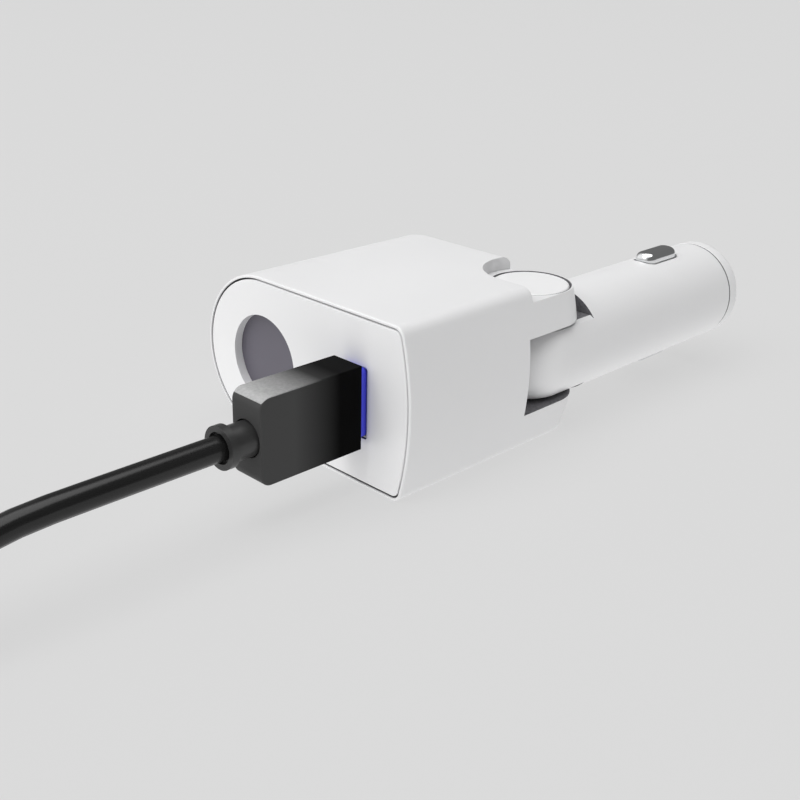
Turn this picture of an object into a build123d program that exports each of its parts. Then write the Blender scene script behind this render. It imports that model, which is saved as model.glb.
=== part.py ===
from build123d import *
import math
import os

# Car USB charger: a D-shaped head with a USB port, a lighter-socket plug that folds at a
# fork-and-knuckle hinge behind it, and the USB lead that is plugged into the port.
# Millimetres. +X is to the right of the face, +Y runs to the plug's tip, +Z is up.
# The origin is under the middle of the charger, on the surface that the head rests on.

# Head
HEAD_WIDTH = 55.2
HEAD_HEIGHT = 32.0
HEAD_LENGTH = 45.7
SIDE_BOW = 2.4
EDGE_ROUND = 2.4
BACK_ROUND = 1.8
FRONT_ROUND = 0.3
INNER_ROUND = 0.6
WALL = 2.0

# Front plate, set in the mouth of the head
RIM = 0.5
PLATE_THICKNESS = 1.7
PLATE_GAP = 0.35
PLATE_ROUND = 0.3

# Smoked window with its indicator
WINDOW_RADIUS = 8.7
WINDOW_OFFSET = 0.7
LENS_LEDGE = 1.0
LENS_THICKNESS = 1.5
COLLAR_WALL = 1.3
LED_SPACE = 4.5
LED_SIDE = 3.2
LED_HEIGHT = 1.4
LED_BOARD_THICKNESS = 1.0

# USB port and the plug of the lead in it; the wide side stands upright
PORT_INSET = 13.4
PORT_WIDTH = 13.1
PORT_THICK = 5.7
PORT_DEPTH = 14.0
PORT_SETBACK = 0.3
PORT_FIT = 0.15
SHEET = 0.3
SLEEVE_CORNER = 0.6
SLEEVE_INNER_CORNER = 0.3
SHELL_WIDTH = 12.0
SHELL_THICK = 4.5
SHELL_REACH = 11.7
SHELL_ROOT = 2.9
TONGUE_WIDTH = 10.6
TONGUE_SPLIT = 0.25
TONGUE_SETBACK = 0.9
BASE_DEPTH = 3.2
CONTACT_COUNT = 4
CONTACT_PITCH = 2.3
CONTACT_WIDTH = 1.1
CONTACT_THICK = 0.18
CONTACT_SETBACK = 1.8
CONTACT_END_GAP = 0.9
INSERT_GAP = 0.3
FIT = 0.15

# Circuit board and what it carries
BOARD_THICKNESS = 1.6
BOARD_START = 6.0
BOARD_LENGTH = 22.0
BOARD_EDGE_GAP = 0.2
RAIL_WIDTH = 1.2
RAIL_HEIGHT = 2.4
COMPONENT_ROW = 6.3
INDUCTOR_RADIUS = 5.0
INDUCTOR_HEIGHT = 6.0
INDUCTOR_FLANGE = 1.0
INDUCTOR_WAIST = 4.3
INDUCTOR_PLACE = 5.0
INPUT_CAN_RADIUS = 4.0
INPUT_CAN_HEIGHT = 9.0
INPUT_CAN_PLACE = 4.0
OUTPUT_CAN_RADIUS = 3.1
OUTPUT_CAN_HEIGHT = 7.0
OUTPUT_CAN_PLACE = -6.2
CAN_ROUND = 0.5
CHIP_LENGTH = 5.0
CHIP_WIDTH = 4.0
CHIP_HEIGHT = 1.5
CHIP_PLACE = -6.0

# Hinge
PIVOT_INSET = 9.7
PIVOT_FROM_BACK = 3.9
SLOT_BELOW_MID = 8.1
SLOT_HEIGHT = 15.1
STEP_DEPTH = 2.6
STEP_RADIUS = 9.2
SLOT_GAP = 0.3
FOLD_GAP = 0.45
KNUCKLE_BEVEL = 0.6
PIN_RADIUS = 3.2
PIN_BORE = 2.0
PIN_FLOOR = 1.8
PIN_HEAD_RADIUS = 4.8
PIN_HEAD_HEIGHT = 1.2
PIN_FIT = 0.1
CAP_RADIUS = 7.4
CAP_THICKNESS = 2.0
CAP_GAP = 0.25
CAP_ROUND = 0.4
WASHER_RADIUS = 5.8
WASHER_THICKNESS = 0.7
WASHER_PROUD = 0.2

# Plug barrel; the whole charger's length sets how long it is
OVERALL_LENGTH = 110.2
BARREL_RADIUS = 10.5
NOSE_LENGTH = 4.4
NOSE_ROUND = 1.8
SEAM_WIDTH = 0.35
SEAM_DEPTH = 0.8
SEAM_BEVEL = 0.3
BORE_RADIUS = 7.7
BORE_FIT = 0.1
SPIGOT_LENGTH = 5.4
SPIGOT_ROOT = 1.1
NOSE_WALL = 2.4
CARRIER_FLOOR = 1.6

# Tip contact with the fuse and spring behind it
TIP_REACH = 6.3
TIP_RADIUS = 3.0
TIP_ROUND = 1.6
TIP_FLANGE_RADIUS = 4.4
TIP_FLANGE = 1.5
TIP_TRAVEL = 2.5
SLIDE_FIT = 0.35
FUSE_RADIUS = 3.2
FUSE_LENGTH = 30.0
FUSE_CAP_LENGTH = 6.0
FUSE_CAP_WALL = 0.25
GLASS_WALL = 0.6
FUSE_WIRE_RADIUS = 0.15
FUSE_FIT = 0.35
SPRING_RADIUS = 2.6
SPRING_WIRE = 0.6
SPRING_LENGTH = 9.0
SPRING_TURNS = 4.5
SPRING_SIDES = 6
TERMINAL_THICKNESS = 1.0

# Sprung side contacts, one above and one below
SIDE_FROM_SEAM = 15.001
SIDE_LENGTH = 11.0
SIDE_WIDTH = 4.8
SIDE_PROUD = 1.7
SIDE_FLANGE = 0.8
SIDE_FLANGE_TOP = 8.3
SIDE_FLANGE_HEIGHT = 0.8
SIDE_TRAVEL = 1.8
SIDE_FIT = 0.3
SIDE_ROUND = 1.5
SIDE_CORNER = 2.2
LEAF_WIDTH = 2.6
LEAF_THICKNESS = 0.3
LEAF_SPAN = 8.4

# Lead: moulded plug, boot, cable, coil and far plug
GRIP_THICK = 7.3
GRIP_WIDTH = 15.4
GRIP_LENGTH = 21.8
GRIP_STANDOFF = 1.8
GRIP_ROUND = 0.3
GRIP_END_ROUND = 2.0
COLLAR_WIDTH = 12.8
COLLAR_THICK = 4.9
COLLAR_CORNER = 0.9
BOOT_RADIUS = 3.05
BOOT_LENGTH = 7.0
BOOT_POCKET_DEPTH = 1.5
BOOT_POCKET_GAP = 0.25
BOOT_RING_RADIUS = 3.7
BOOT_RING_LENGTH = 1.4
BOOT_MOUTH_DEPTH = 0.8
BOOT_MOUTH_GAP = 0.5
CABLE_RADIUS = 2.2
CABLE_CORNERS = [(0.0, 0.0), (19.6, 0.0), (40.6, 0.02), (60.0, 0.86), (80.0, 1.0)]
BEND_SHARE = 0.45
COIL_RADIUS = 26.0
COIL_BACK = 78.0
COIL_ROUND = 2.0
COIL_ROWS = 3
COIL_LAYERS = 2
TIE_THICKNESS = 0.8
TIE_WIDTH = 8.0
TIE_ANGLE = -70.0
TIE_ROUND = 2.2
TIE_INNER_ROUND = 1.5
TAIL_LENGTH = 22.0
FAR_WIDTH = 10.6
FAR_HEIGHT = 6.4
FAR_LENGTH = 21.0
FAR_ROUND = 1.8
FAR_SHELL_WIDTH = 8.3
FAR_SHELL_HEIGHT = 2.5
FAR_SHELL_LENGTH = 6.6
FAR_SHELL_ROUND = 1.2
FAR_SHELL_WALL = 0.3

# Places worked out from the sizes above
PIVOT_FROM_LEFT = HEAD_WIDTH - PIVOT_INSET
OVERALL_WIDTH = max(HEAD_WIDTH, PIVOT_FROM_LEFT + BARREL_RADIUS)
HEAD_LEFT = -OVERALL_WIDTH / 2
HEAD_RIGHT = HEAD_LEFT + HEAD_WIDTH
HEAD_MID = HEAD_HEIGHT / 2
PIVOT_X = HEAD_LEFT + PIVOT_FROM_LEFT
PORT_X = HEAD_RIGHT - PORT_INSET
PORT_Z = HEAD_MID
ROUND_X = HEAD_LEFT + HEAD_MID
BOW_RADIUS = (HEAD_MID ** 2 + SIDE_BOW ** 2) / (2 * SIDE_BOW)
BOW_X = HEAD_RIGHT - BOW_RADIUS
SLOT_BOTTOM = HEAD_MID - SLOT_BELOW_MID
SLOT_TOP = SLOT_BOTTOM + SLOT_HEIGHT
ARM_TOP = HEAD_HEIGHT - STEP_DEPTH


def side_wall_x(height, inset=0.0):
    """X of the bowed right wall at a height, drawn in by inset."""
    return BOW_X + math.sqrt((BOW_RADIUS - inset) ** 2 - (height - HEAD_MID) ** 2)


ARM_REACH = max(side_wall_x(SLOT_BOTTOM), side_wall_x(SLOT_TOP)) - PIVOT_X
BARREL_SETBACK = ARM_REACH + FOLD_GAP
FRONT_Y = -OVERALL_LENGTH / 2
BACK_Y = FRONT_Y + HEAD_LENGTH
PIVOT_Y = BACK_Y - PIVOT_FROM_BACK
BARREL_START = PIVOT_Y + BARREL_SETBACK
TIP_END = FRONT_Y + OVERALL_LENGTH
NOSE_END = TIP_END - TIP_REACH
SEAM_Y = NOSE_END - NOSE_LENGTH
SLOT_RADIUS = BARREL_RADIUS + SLOT_GAP
BARREL_Z = HEAD_MID
CAVITY_END = PIVOT_Y - SLOT_RADIUS - WALL


def along_y(sketch, start, length):
    """A sketch drawn on the X-Z plane, carried along +Y."""
    return extrude(Pos(0, start, 0) * (Plane.XZ * sketch), amount=length, dir=(0, 1, 0))


def rod(x, z, radius, start, end):
    """Round bar along Y."""
    return along_y(Pos(x, z) * Circle(radius), start, end - start)


def post(x, y, radius, bottom, top):
    """Round bar along Z."""
    return extrude(Pos(x, y, bottom) * Circle(radius), amount=top - bottom)


def stud(x, y, z, radius, length):
    """Round bar that stands off to the left of x."""
    return extrude(Pos(x, y, z) * (Plane.YZ * Circle(radius)), amount=length, dir=(-1, 0, 0))


def block(x_range, y_range, z_range):
    """Box between three pairs of limits."""
    low = [pair[0] for pair in (x_range, y_range, z_range)]
    size = [pair[1] - pair[0] for pair in (x_range, y_range, z_range)]
    return Pos(*low) * Box(*size, align=(Align.MIN, Align.MIN, Align.MIN))


def about(centre, size):
    """Limits of a given size about a centre."""
    return (centre - size / 2, centre + size / 2)


def port_slot(thick, width, start, end, corner):
    """Upright slot-shaped bar on the port's axis."""
    sketch = Pos(PORT_X, PORT_Z) * RectangleRounded(thick, width, corner)
    return along_y(sketch, start, end - start)


def head_section(inset):
    """D outline of the head, drawn in by inset: round left end, bowed right wall."""
    top = HEAD_HEIGHT - inset
    corner_x = side_wall_x(top, inset)
    outline = [
        Line((ROUND_X, top), (corner_x, top)),
        ThreePointArc((corner_x, top), (HEAD_RIGHT - inset, HEAD_MID), (corner_x, inset)),
        Line((corner_x, inset), (ROUND_X, inset)),
        ThreePointArc((ROUND_X, inset), (HEAD_LEFT + inset, HEAD_MID), (ROUND_X, top)),
    ]
    face = make_face(outline)
    corners = face.vertices().sort_by(Axis.X)[-2:]
    return fillet(corners, max(EDGE_ROUND - inset, INNER_ROUND))


def hinge_corner(radius, bottom, top, open_back):
    """Room at the hinge's corner: round about the pivot, open to the right, and also to the back."""
    far = HEAD_WIDTH + HEAD_LENGTH
    low = (Align.MIN, Align.MIN)
    plan = Circle(radius) + Pos(0, -radius) * Rectangle(far, far, align=low)
    if open_back:
        plan += Pos(-radius, 0) * Rectangle(far, far, align=low)
    return extrude(Pos(PIVOT_X, PIVOT_Y, bottom) * plan, amount=top - bottom)


# Circuit board's place: its right face carries the port
BOARD_RIGHT = PORT_X - PORT_THICK / 2
BOARD_LEFT = BOARD_RIGHT - BOARD_THICKNESS
BOARD_Y = (FRONT_Y + BOARD_START, FRONT_Y + BOARD_START + BOARD_LENGTH)


def make_housing():
    """Sleeve with a closed back, and the fork that holds the plug's knuckle."""
    body = along_y(head_section(0), FRONT_Y, HEAD_LENGTH)
    body = fillet(body.edges().group_by(Axis.Y)[0], FRONT_ROUND)
    # The back is rounded, apart from the foot of the hinge's corner
    corner_x = (PIVOT_X - STEP_RADIUS, HEAD_RIGHT + WALL)
    corner = block(corner_x, (PIVOT_Y - STEP_RADIUS, BACK_Y + WALL), (0, SLOT_BOTTOM))
    shell = fillet(body.edges().group_by(Axis.Y)[-1], BACK_ROUND) - corner + (body & corner)
    # The fork's end is the right wall's own section, turned about the pivot
    shell -= block((PIVOT_X, HEAD_RIGHT + WALL), (PIVOT_Y, BACK_Y + WALL), (0, HEAD_HEIGHT))
    right_half = Rectangle(HEAD_WIDTH, ARM_TOP, align=(Align.MIN, Align.MIN))
    half_section = head_section(0) & (Pos(PIVOT_X, 0) * right_half)
    pivot_axis = Axis((PIVOT_X, PIVOT_Y, 0), (0, 0, 1))
    shell += revolve(Pos(0, PIVOT_Y, 0) * (Plane.XZ * half_section), pivot_axis, 180)
    # Step that sinks the upper arm, and the slot for the knuckle
    shell -= hinge_corner(STEP_RADIUS, ARM_TOP, HEAD_HEIGHT, open_back=False)
    shell -= hinge_corner(SLOT_RADIUS, SLOT_BOTTOM, SLOT_TOP, open_back=True)
    # Cavity: full width as far as the hinge, then only the left side
    plate_seat = FRONT_Y + PLATE_THICKNESS
    cavity = along_y(head_section(WALL), plate_seat, CAVITY_END - plate_seat)
    left_end = PIVOT_X - SLOT_RADIUS - WALL
    left_side = block((HEAD_LEFT, left_end), (FRONT_Y, BACK_Y), (0, HEAD_HEIGHT))
    cavity += along_y(head_section(WALL), plate_seat, BACK_Y - WALL - plate_seat) & left_side
    shell -= cavity
    shell -= along_y(head_section(RIM), FRONT_Y, PLATE_THICKNESS)
    # Rails that hold the circuit board by its top and bottom edges
    rail_y = (BOARD_Y[0], CAVITY_END)
    for inner, outer in ((BOARD_LEFT - FIT, -1), (BOARD_RIGHT + FIT, 1)):
        rail_x = sorted((inner, inner + outer * RAIL_WIDTH))
        shell += block(rail_x, rail_y, (WALL / 2, WALL + RAIL_HEIGHT))
        shell += block(rail_x, rail_y, (HEAD_HEIGHT - WALL - RAIL_HEIGHT, HEAD_HEIGHT - WALL / 2))
    # Bores for the pin, its head and the cap, and the washer's seat
    cap_floor = ARM_TOP - CAP_THICKNESS
    shell -= post(PIVOT_X, PIVOT_Y, PIN_RADIUS, PIN_FLOOR, ARM_TOP)
    shell -= post(PIVOT_X, PIVOT_Y, PIN_HEAD_RADIUS + FIT, cap_floor - PIN_HEAD_HEIGHT, ARM_TOP)
    shell -= post(PIVOT_X, PIVOT_Y, CAP_RADIUS + CAP_GAP, cap_floor, ARM_TOP)
    washer_seat = SLOT_BOTTOM - WASHER_THICKNESS + WASHER_PROUD
    shell -= post(PIVOT_X, PIVOT_Y, WASHER_RADIUS + FIT, washer_seat, SLOT_BOTTOM)
    return shell


WINDOW_X = ROUND_X + WINDOW_OFFSET
LENS_RADIUS = WINDOW_RADIUS + LENS_LEDGE
COLLAR_BORE = LENS_RADIUS + FIT
PLATE_BACK = FRONT_Y + PLATE_THICKNESS
LENS_BACK = PLATE_BACK + LENS_THICKNESS
LED_BOARD_FRONT = LENS_BACK + LED_SPACE
LED_BOARD_BACK = LED_BOARD_FRONT + LED_BOARD_THICKNESS


def make_front_plate():
    """Face with the round window and the port's mouth, and a collar behind the window."""
    plate = along_y(head_section(RIM + PLATE_GAP), FRONT_Y, PLATE_THICKNESS)
    plate = fillet(plate.edges().group_by(Axis.Y)[0], PLATE_ROUND)
    collar_root = PLATE_BACK - WALL / 2
    plate += rod(WINDOW_X, HEAD_MID, COLLAR_BORE + COLLAR_WALL, collar_root, LED_BOARD_BACK)
    plate -= rod(WINDOW_X, HEAD_MID, COLLAR_BORE, PLATE_BACK, LED_BOARD_BACK)
    plate -= rod(WINDOW_X, HEAD_MID, WINDOW_RADIUS, FRONT_Y, PLATE_BACK)
    mouth = (PORT_THICK + 2 * PORT_FIT, PORT_WIDTH + 2 * PORT_FIT)
    return plate - port_slot(*mouth, FRONT_Y, PLATE_BACK, SLEEVE_CORNER)


def make_window_lens():
    """Smoked disc pressed against the back of the face."""
    return rod(WINDOW_X, HEAD_MID, LENS_RADIUS, PLATE_BACK, LENS_BACK)


def make_indicator_board():
    """Round board in the end of the window's collar."""
    return rod(WINDOW_X, HEAD_MID, LENS_RADIUS, LED_BOARD_FRONT, LED_BOARD_BACK)


def make_indicator_led():
    """Square lamp on the front of its board."""
    lamp_y = (LED_BOARD_FRONT - LED_HEIGHT, LED_BOARD_FRONT)
    return block(about(WINDOW_X, LED_SIDE), lamp_y, about(HEAD_MID, LED_SIDE))


PORT_FRONT = FRONT_Y + PORT_SETBACK
PORT_BACK = PORT_FRONT + PORT_DEPTH
PORT_INNER_THICK = PORT_THICK - 2 * SHEET
PORT_INNER_WIDTH = PORT_WIDTH - 2 * SHEET
BASE_FRONT = PORT_BACK - BASE_DEPTH
GRIP_FRONT = FRONT_Y - GRIP_STANDOFF
SHELL_END = GRIP_FRONT + SHELL_REACH
SHELL_INNER_THICK = SHELL_THICK - 2 * SHEET
SHELL_INNER_WIDTH = SHELL_WIDTH - 2 * SHEET


def contact_strips(x_range, y_range):
    """Row of flat contacts, one above the other."""
    first = PORT_Z - CONTACT_PITCH * (CONTACT_COUNT - 1) / 2
    levels = [first + CONTACT_PITCH * step for step in range(CONTACT_COUNT)]
    return Compound([block(x_range, y_range, about(level, CONTACT_WIDTH)) for level in levels])


def make_port_shell():
    """Folded metal sleeve of the port."""
    ends = (PORT_FRONT, PORT_BACK)
    sleeve = port_slot(PORT_THICK, PORT_WIDTH, *ends, SLEEVE_CORNER)
    return sleeve - port_slot(PORT_INNER_THICK, PORT_INNER_WIDTH, *ends, SLEEVE_INNER_CORNER)


def make_port_tongue():
    """Moulded base in the back of the port, with the tongue that stands out of it."""
    inside = (PORT_INNER_THICK, PORT_INNER_WIDTH)
    base = port_slot(*inside, BASE_FRONT, PORT_BACK, SLEEVE_INNER_CORNER)
    tongue_x = (PORT_X + TONGUE_SPLIT, PORT_X + SHELL_INNER_THICK / 2 - FIT)
    tongue_y = (PORT_FRONT + TONGUE_SETBACK, PORT_BACK - BASE_DEPTH / 2)
    return base + block(tongue_x, tongue_y, about(PORT_Z, TONGUE_WIDTH))


def make_port_contacts():
    """Contacts on the left side of the tongue."""
    contact_x = (PORT_X + TONGUE_SPLIT - CONTACT_THICK, PORT_X + TONGUE_SPLIT)
    return contact_strips(contact_x, (PORT_FRONT + CONTACT_SETBACK, BASE_FRONT))


def make_circuit_board():
    """Upright board between the rails."""
    low = WALL + BOARD_EDGE_GAP
    return block((BOARD_LEFT, BOARD_RIGHT), BOARD_Y, (low, HEAD_HEIGHT - low))


BOARD_MID_Y = sum(BOARD_Y) / 2
LOW_ROW_Z = HEAD_MID - COMPONENT_ROW
HIGH_ROW_Z = HEAD_MID + COMPONENT_ROW


def make_inductor():
    """Drum core: two flanges with the winding sunk between them."""
    y = BOARD_MID_Y + INDUCTOR_PLACE
    drum = stud(BOARD_LEFT, y, HIGH_ROW_Z, INDUCTOR_RADIUS, INDUCTOR_HEIGHT)
    groove_length = INDUCTOR_HEIGHT - 2 * INDUCTOR_FLANGE
    groove = stud(BOARD_LEFT - INDUCTOR_FLANGE, y, HIGH_ROW_Z, INDUCTOR_RADIUS, groove_length)
    winding = stud(BOARD_LEFT, y, HIGH_ROW_Z, INDUCTOR_WAIST, INDUCTOR_HEIGHT)
    return (drum - groove) + winding


def make_can(place, z, radius, height):
    """Electrolytic can that stands on the board."""
    can = stud(BOARD_LEFT, BOARD_MID_Y + place, z, radius, height)
    return fillet(can.edges().group_by(Axis.X)[0], CAN_ROUND)


def make_converter_chip():
    """Flat chip on the board."""
    chip_x = (BOARD_LEFT - CHIP_HEIGHT, BOARD_LEFT)
    return block(chip_x, about(BOARD_MID_Y + CHIP_PLACE, CHIP_WIDTH), about(LOW_ROW_Z, CHIP_LENGTH))


def make_pivot_pin():
    """Hollow pin with a flat head, dropped in from above; the wires run down its bore."""
    head_top = ARM_TOP - CAP_THICKNESS
    pin = post(PIVOT_X, PIVOT_Y, PIN_RADIUS, PIN_FLOOR, head_top)
    pin += post(PIVOT_X, PIVOT_Y, PIN_HEAD_RADIUS, head_top - PIN_HEAD_HEIGHT, head_top)
    return pin - post(PIVOT_X, PIVOT_Y, PIN_BORE, PIN_FLOOR, head_top)


def make_pivot_cap():
    """Round cap that closes the pin's bore, flush with the upper arm."""
    cap = post(PIVOT_X, PIVOT_Y, CAP_RADIUS, ARM_TOP - CAP_THICKNESS, ARM_TOP)
    return fillet(cap.edges().group_by(Axis.Z)[-1], CAP_ROUND)


def make_friction_washer():
    """Flat ring sunk in the lower arm, which the knuckle turns on."""
    top = SLOT_BOTTOM + WASHER_PROUD
    ring = post(PIVOT_X, PIVOT_Y, WASHER_RADIUS, top - WASHER_THICKNESS, top)
    return ring - post(PIVOT_X, PIVOT_Y, PIN_RADIUS + PIN_FIT, top - WASHER_THICKNESS, top)


SIDE_Y = SEAM_Y - SIDE_FROM_SEAM
TIP_SHOULDER = NOSE_END - NOSE_WALL
TIP_FLANGE_FRONT = TIP_SHOULDER - PIN_FIT
FUSE_FRONT = TIP_FLANGE_FRONT - TIP_FLANGE
FUSE_BACK = FUSE_FRONT - FUSE_LENGTH
SPRING_BACK = FUSE_BACK - SPRING_LENGTH
FUSE_BORE_END = SPRING_BACK - TERMINAL_THICKNESS
FUSE_BORE = FUSE_RADIUS + FUSE_FIT
FLANGE_BORE = TIP_FLANGE_RADIUS + SLIDE_FIT
FLANGE_ROOM = FUSE_FRONT - TIP_TRAVEL - SLIDE_FIT
SPIGOT_END = min(SEAM_Y - SPIGOT_LENGTH, FLANGE_ROOM)
CARRIER_BACK = FUSE_BORE_END - CARRIER_FLOOR
CARRIER_RADIUS = BORE_RADIUS - BORE_FIT
SIDE_POCKET_FLOOR = SIDE_FLANGE_TOP - SIDE_FLANGE_HEIGHT - SIDE_TRAVEL - SIDE_FIT
POCKET_WIDTH = SIDE_WIDTH + 2 * SIDE_FLANGE + 2 * SIDE_FIT
POCKET_LENGTH = SIDE_LENGTH + 2 * SIDE_FLANGE + 2 * SIDE_FIT


def side_block(width, length, low, high):
    """Box over the barrel's axis, between two heights above that axis."""
    return block(about(PIVOT_X, width), about(SIDE_Y, length), (BARREL_Z + low, BARREL_Z + high))


def side_pocket():
    """Room in the upper wall: a mouth for the side contact, and a wider chamber for its flange."""
    chamber = side_block(POCKET_WIDTH, POCKET_LENGTH, SIDE_POCKET_FLOOR, SIDE_FLANGE_TOP + SIDE_FIT / 2)
    mouth_size = (SIDE_WIDTH + 2 * SIDE_FIT, SIDE_LENGTH + 2 * SIDE_FIT)
    mouth = side_block(*mouth_size, SIDE_FLANGE_TOP, BARREL_RADIUS + SIDE_PROUD)
    return chamber + fillet(mouth.edges().filter_by(Axis.Z), SIDE_CORNER)


def below(solid):
    """The same solid on the barrel's underside."""
    return mirror(solid, about=Plane((0, 0, BARREL_Z), z_dir=(0, 0, 1)))


def make_plug_barrel():
    """Hollow barrel with a round knuckle in one moulding, bored from the nose."""
    side = PIVOT_X + BARREL_RADIUS
    outline = [
        CenterArc((PIVOT_X, PIVOT_Y), BARREL_RADIUS, -90, 90),
        Line((side, PIVOT_Y), (side, SEAM_Y)),
        Line((side, SEAM_Y), (PIVOT_X, SEAM_Y)),
        Line((PIVOT_X, SEAM_Y), (PIVOT_X, PIVOT_Y - BARREL_RADIUS)),
    ]
    axis = Axis((PIVOT_X, 0, BARREL_Z), (0, 1, 0))
    plug = revolve(Pos(0, 0, BARREL_Z) * make_face(outline), axis)
    # Flats above and below, where the fork's arms go
    knuckle_z = (SLOT_BOTTOM + SLOT_GAP, SLOT_TOP - SLOT_GAP)
    for arm_z in ((0, knuckle_z[0]), (knuckle_z[1], HEAD_HEIGHT)):
        plug -= block(about(PIVOT_X, HEAD_WIDTH), (FRONT_Y, BARREL_START), arm_z)
    rims = plug.faces().filter_by(Axis.Z).edges()
    rims = rims.filter_by(lambda rim: rim.center().Y < BARREL_START - KNUCKLE_BEVEL)
    plug = chamfer(rims, KNUCKLE_BEVEL)
    plug -= post(PIVOT_X, PIVOT_Y, PIN_RADIUS + PIN_FIT, *knuckle_z)
    plug -= rod(PIVOT_X, BARREL_Z, BORE_RADIUS, CARRIER_BACK, SEAM_Y)
    upper = side_pocket()
    return plug - upper - below(upper)


def make_fuse_carrier():
    """Moulded core of the barrel: blind bore for the fuse, and floors for the two leaf springs."""
    core = rod(PIVOT_X, BARREL_Z, CARRIER_RADIUS, CARRIER_BACK, SPIGOT_END)
    core -= rod(PIVOT_X, BARREL_Z, FUSE_BORE, FUSE_BORE_END, SPIGOT_END)
    upper = side_block(POCKET_WIDTH, POCKET_LENGTH, SIDE_POCKET_FLOOR, BORE_RADIUS)
    return core - upper - below(upper)


def make_nose_cap():
    """Screw-in nose: a rounded end, the groove of its seam, a spigot and the hole for the tip."""
    nose = rod(PIVOT_X, BARREL_Z, BARREL_RADIUS, SEAM_Y + SEAM_WIDTH, NOSE_END)
    nose = fillet(nose.edges().group_by(Axis.Y)[-1], NOSE_ROUND)
    nose = chamfer(nose.edges().group_by(Axis.Y)[0], SEAM_BEVEL)
    nose += rod(PIVOT_X, BARREL_Z, BARREL_RADIUS - SEAM_DEPTH, SEAM_Y, SEAM_Y + SEAM_WIDTH)
    nose += rod(PIVOT_X, BARREL_Z, BORE_RADIUS - BORE_FIT, SPIGOT_END, SEAM_Y + SPIGOT_ROOT)
    nose -= rod(PIVOT_X, BARREL_Z, FLANGE_BORE, SPIGOT_END, TIP_SHOULDER)
    return nose - rod(PIVOT_X, BARREL_Z, TIP_RADIUS + SLIDE_FIT, TIP_SHOULDER, NOSE_END)


def make_tip_contact():
    """Turned tip with the flange that the nose holds back."""
    tip = rod(PIVOT_X, BARREL_Z, TIP_RADIUS, TIP_FLANGE_FRONT, TIP_END)
    tip = fillet(tip.edges().group_by(Axis.Y)[-1], TIP_ROUND)
    return tip + rod(PIVOT_X, BARREL_Z, TIP_FLANGE_RADIUS, FUSE_FRONT, TIP_FLANGE_FRONT)


GLASS_RADIUS = FUSE_RADIUS - FUSE_CAP_WALL
GLASS_ENDS = (FUSE_BACK + FUSE_CAP_WALL, FUSE_FRONT - FUSE_CAP_WALL)


def make_fuse_glass():
    """Glass tube of the fuse."""
    tube = rod(PIVOT_X, BARREL_Z, GLASS_RADIUS, *GLASS_ENDS)
    return tube - rod(PIVOT_X, BARREL_Z, GLASS_RADIUS - GLASS_WALL, *GLASS_ENDS)


def make_fuse_caps():
    """Metal cups on the two ends of the glass."""
    room = rod(PIVOT_X, BARREL_Z, GLASS_RADIUS, *GLASS_ENDS)
    back = rod(PIVOT_X, BARREL_Z, FUSE_RADIUS, FUSE_BACK, FUSE_BACK + FUSE_CAP_LENGTH) - room
    front = rod(PIVOT_X, BARREL_Z, FUSE_RADIUS, FUSE_FRONT - FUSE_CAP_LENGTH, FUSE_FRONT) - room
    return Compound([back, front])


def make_fuse_wire():
    """Fine wire from cup to cup."""
    return rod(PIVOT_X, BARREL_Z, FUSE_WIRE_RADIUS, *GLASS_ENDS)


def make_tip_spring():
    """Coil spring that pushes the fuse and the tip forward."""
    turns_length = SPRING_LENGTH - SPRING_WIRE
    helix = Helix(turns_length / SPRING_TURNS, turns_length, SPRING_RADIUS)
    section = Plane(helix @ 0, z_dir=helix % 0) * RegularPolygon(SPRING_WIRE / 2, SPRING_SIDES)
    coil = sweep(section, helix, is_frenet=True)
    start = Location((PIVOT_X, SPRING_BACK + SPRING_WIRE / 2, BARREL_Z), (-90, 0, 0))
    return start * coil


def make_fuse_terminal():
    """Round plate in the blind end of the fuse's bore."""
    return rod(PIVOT_X, BARREL_Z, FUSE_RADIUS, FUSE_BORE_END, SPRING_BACK)


def make_side_contact():
    """Pressed contact with rounded ends, proud of the barrel, on a flange that holds it in."""
    flange_low = SIDE_FLANGE_TOP - SIDE_FLANGE_HEIGHT
    crown = side_block(SIDE_WIDTH, SIDE_LENGTH, flange_low, BARREL_RADIUS + SIDE_PROUD)
    crown = fillet(crown.edges().filter_by(Axis.Z), SIDE_CORNER)
    crown = fillet(crown.edges().group_by(Axis.Z)[-1], SIDE_ROUND)
    wide = SIDE_WIDTH + 2 * SIDE_FLANGE
    return crown + side_block(wide, SIDE_LENGTH + 2 * SIDE_FLANGE, flange_low, SIDE_FLANGE_TOP)


def make_contact_leaf():
    """Arched leaf spring between the carrier's floor and the side contact."""
    floor = BARREL_Z + SIDE_POCKET_FLOOR
    crest = floor + SIDE_TRAVEL + SIDE_FIT
    back, front = about(SIDE_Y, LEAF_SPAN)
    edge = floor + LEAF_THICKNESS
    upper = ThreePointArc((back, edge), (SIDE_Y, crest), (front, edge))
    lower = ThreePointArc((back, floor), (SIDE_Y, crest - LEAF_THICKNESS), (front, floor))
    sides = [Line(upper @ 0, lower @ 0), Line(upper @ 1, lower @ 1)]
    strip = Pos(PIVOT_X - LEAF_WIDTH / 2, 0, 0) * (Plane.YZ * make_face([upper, lower] + sides))
    return extrude(strip, amount=LEAF_WIDTH, dir=(1, 0, 0))


GRIP_BACK = GRIP_FRONT - GRIP_LENGTH
BOOT_START = GRIP_BACK + BOOT_POCKET_DEPTH
BOOT_END = GRIP_BACK + BOOT_POCKET_DEPTH - BOOT_LENGTH
CABLE_START = BOOT_END + BOOT_MOUTH_DEPTH
ROOT_Y = GRIP_FRONT - SHELL_ROOT


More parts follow.
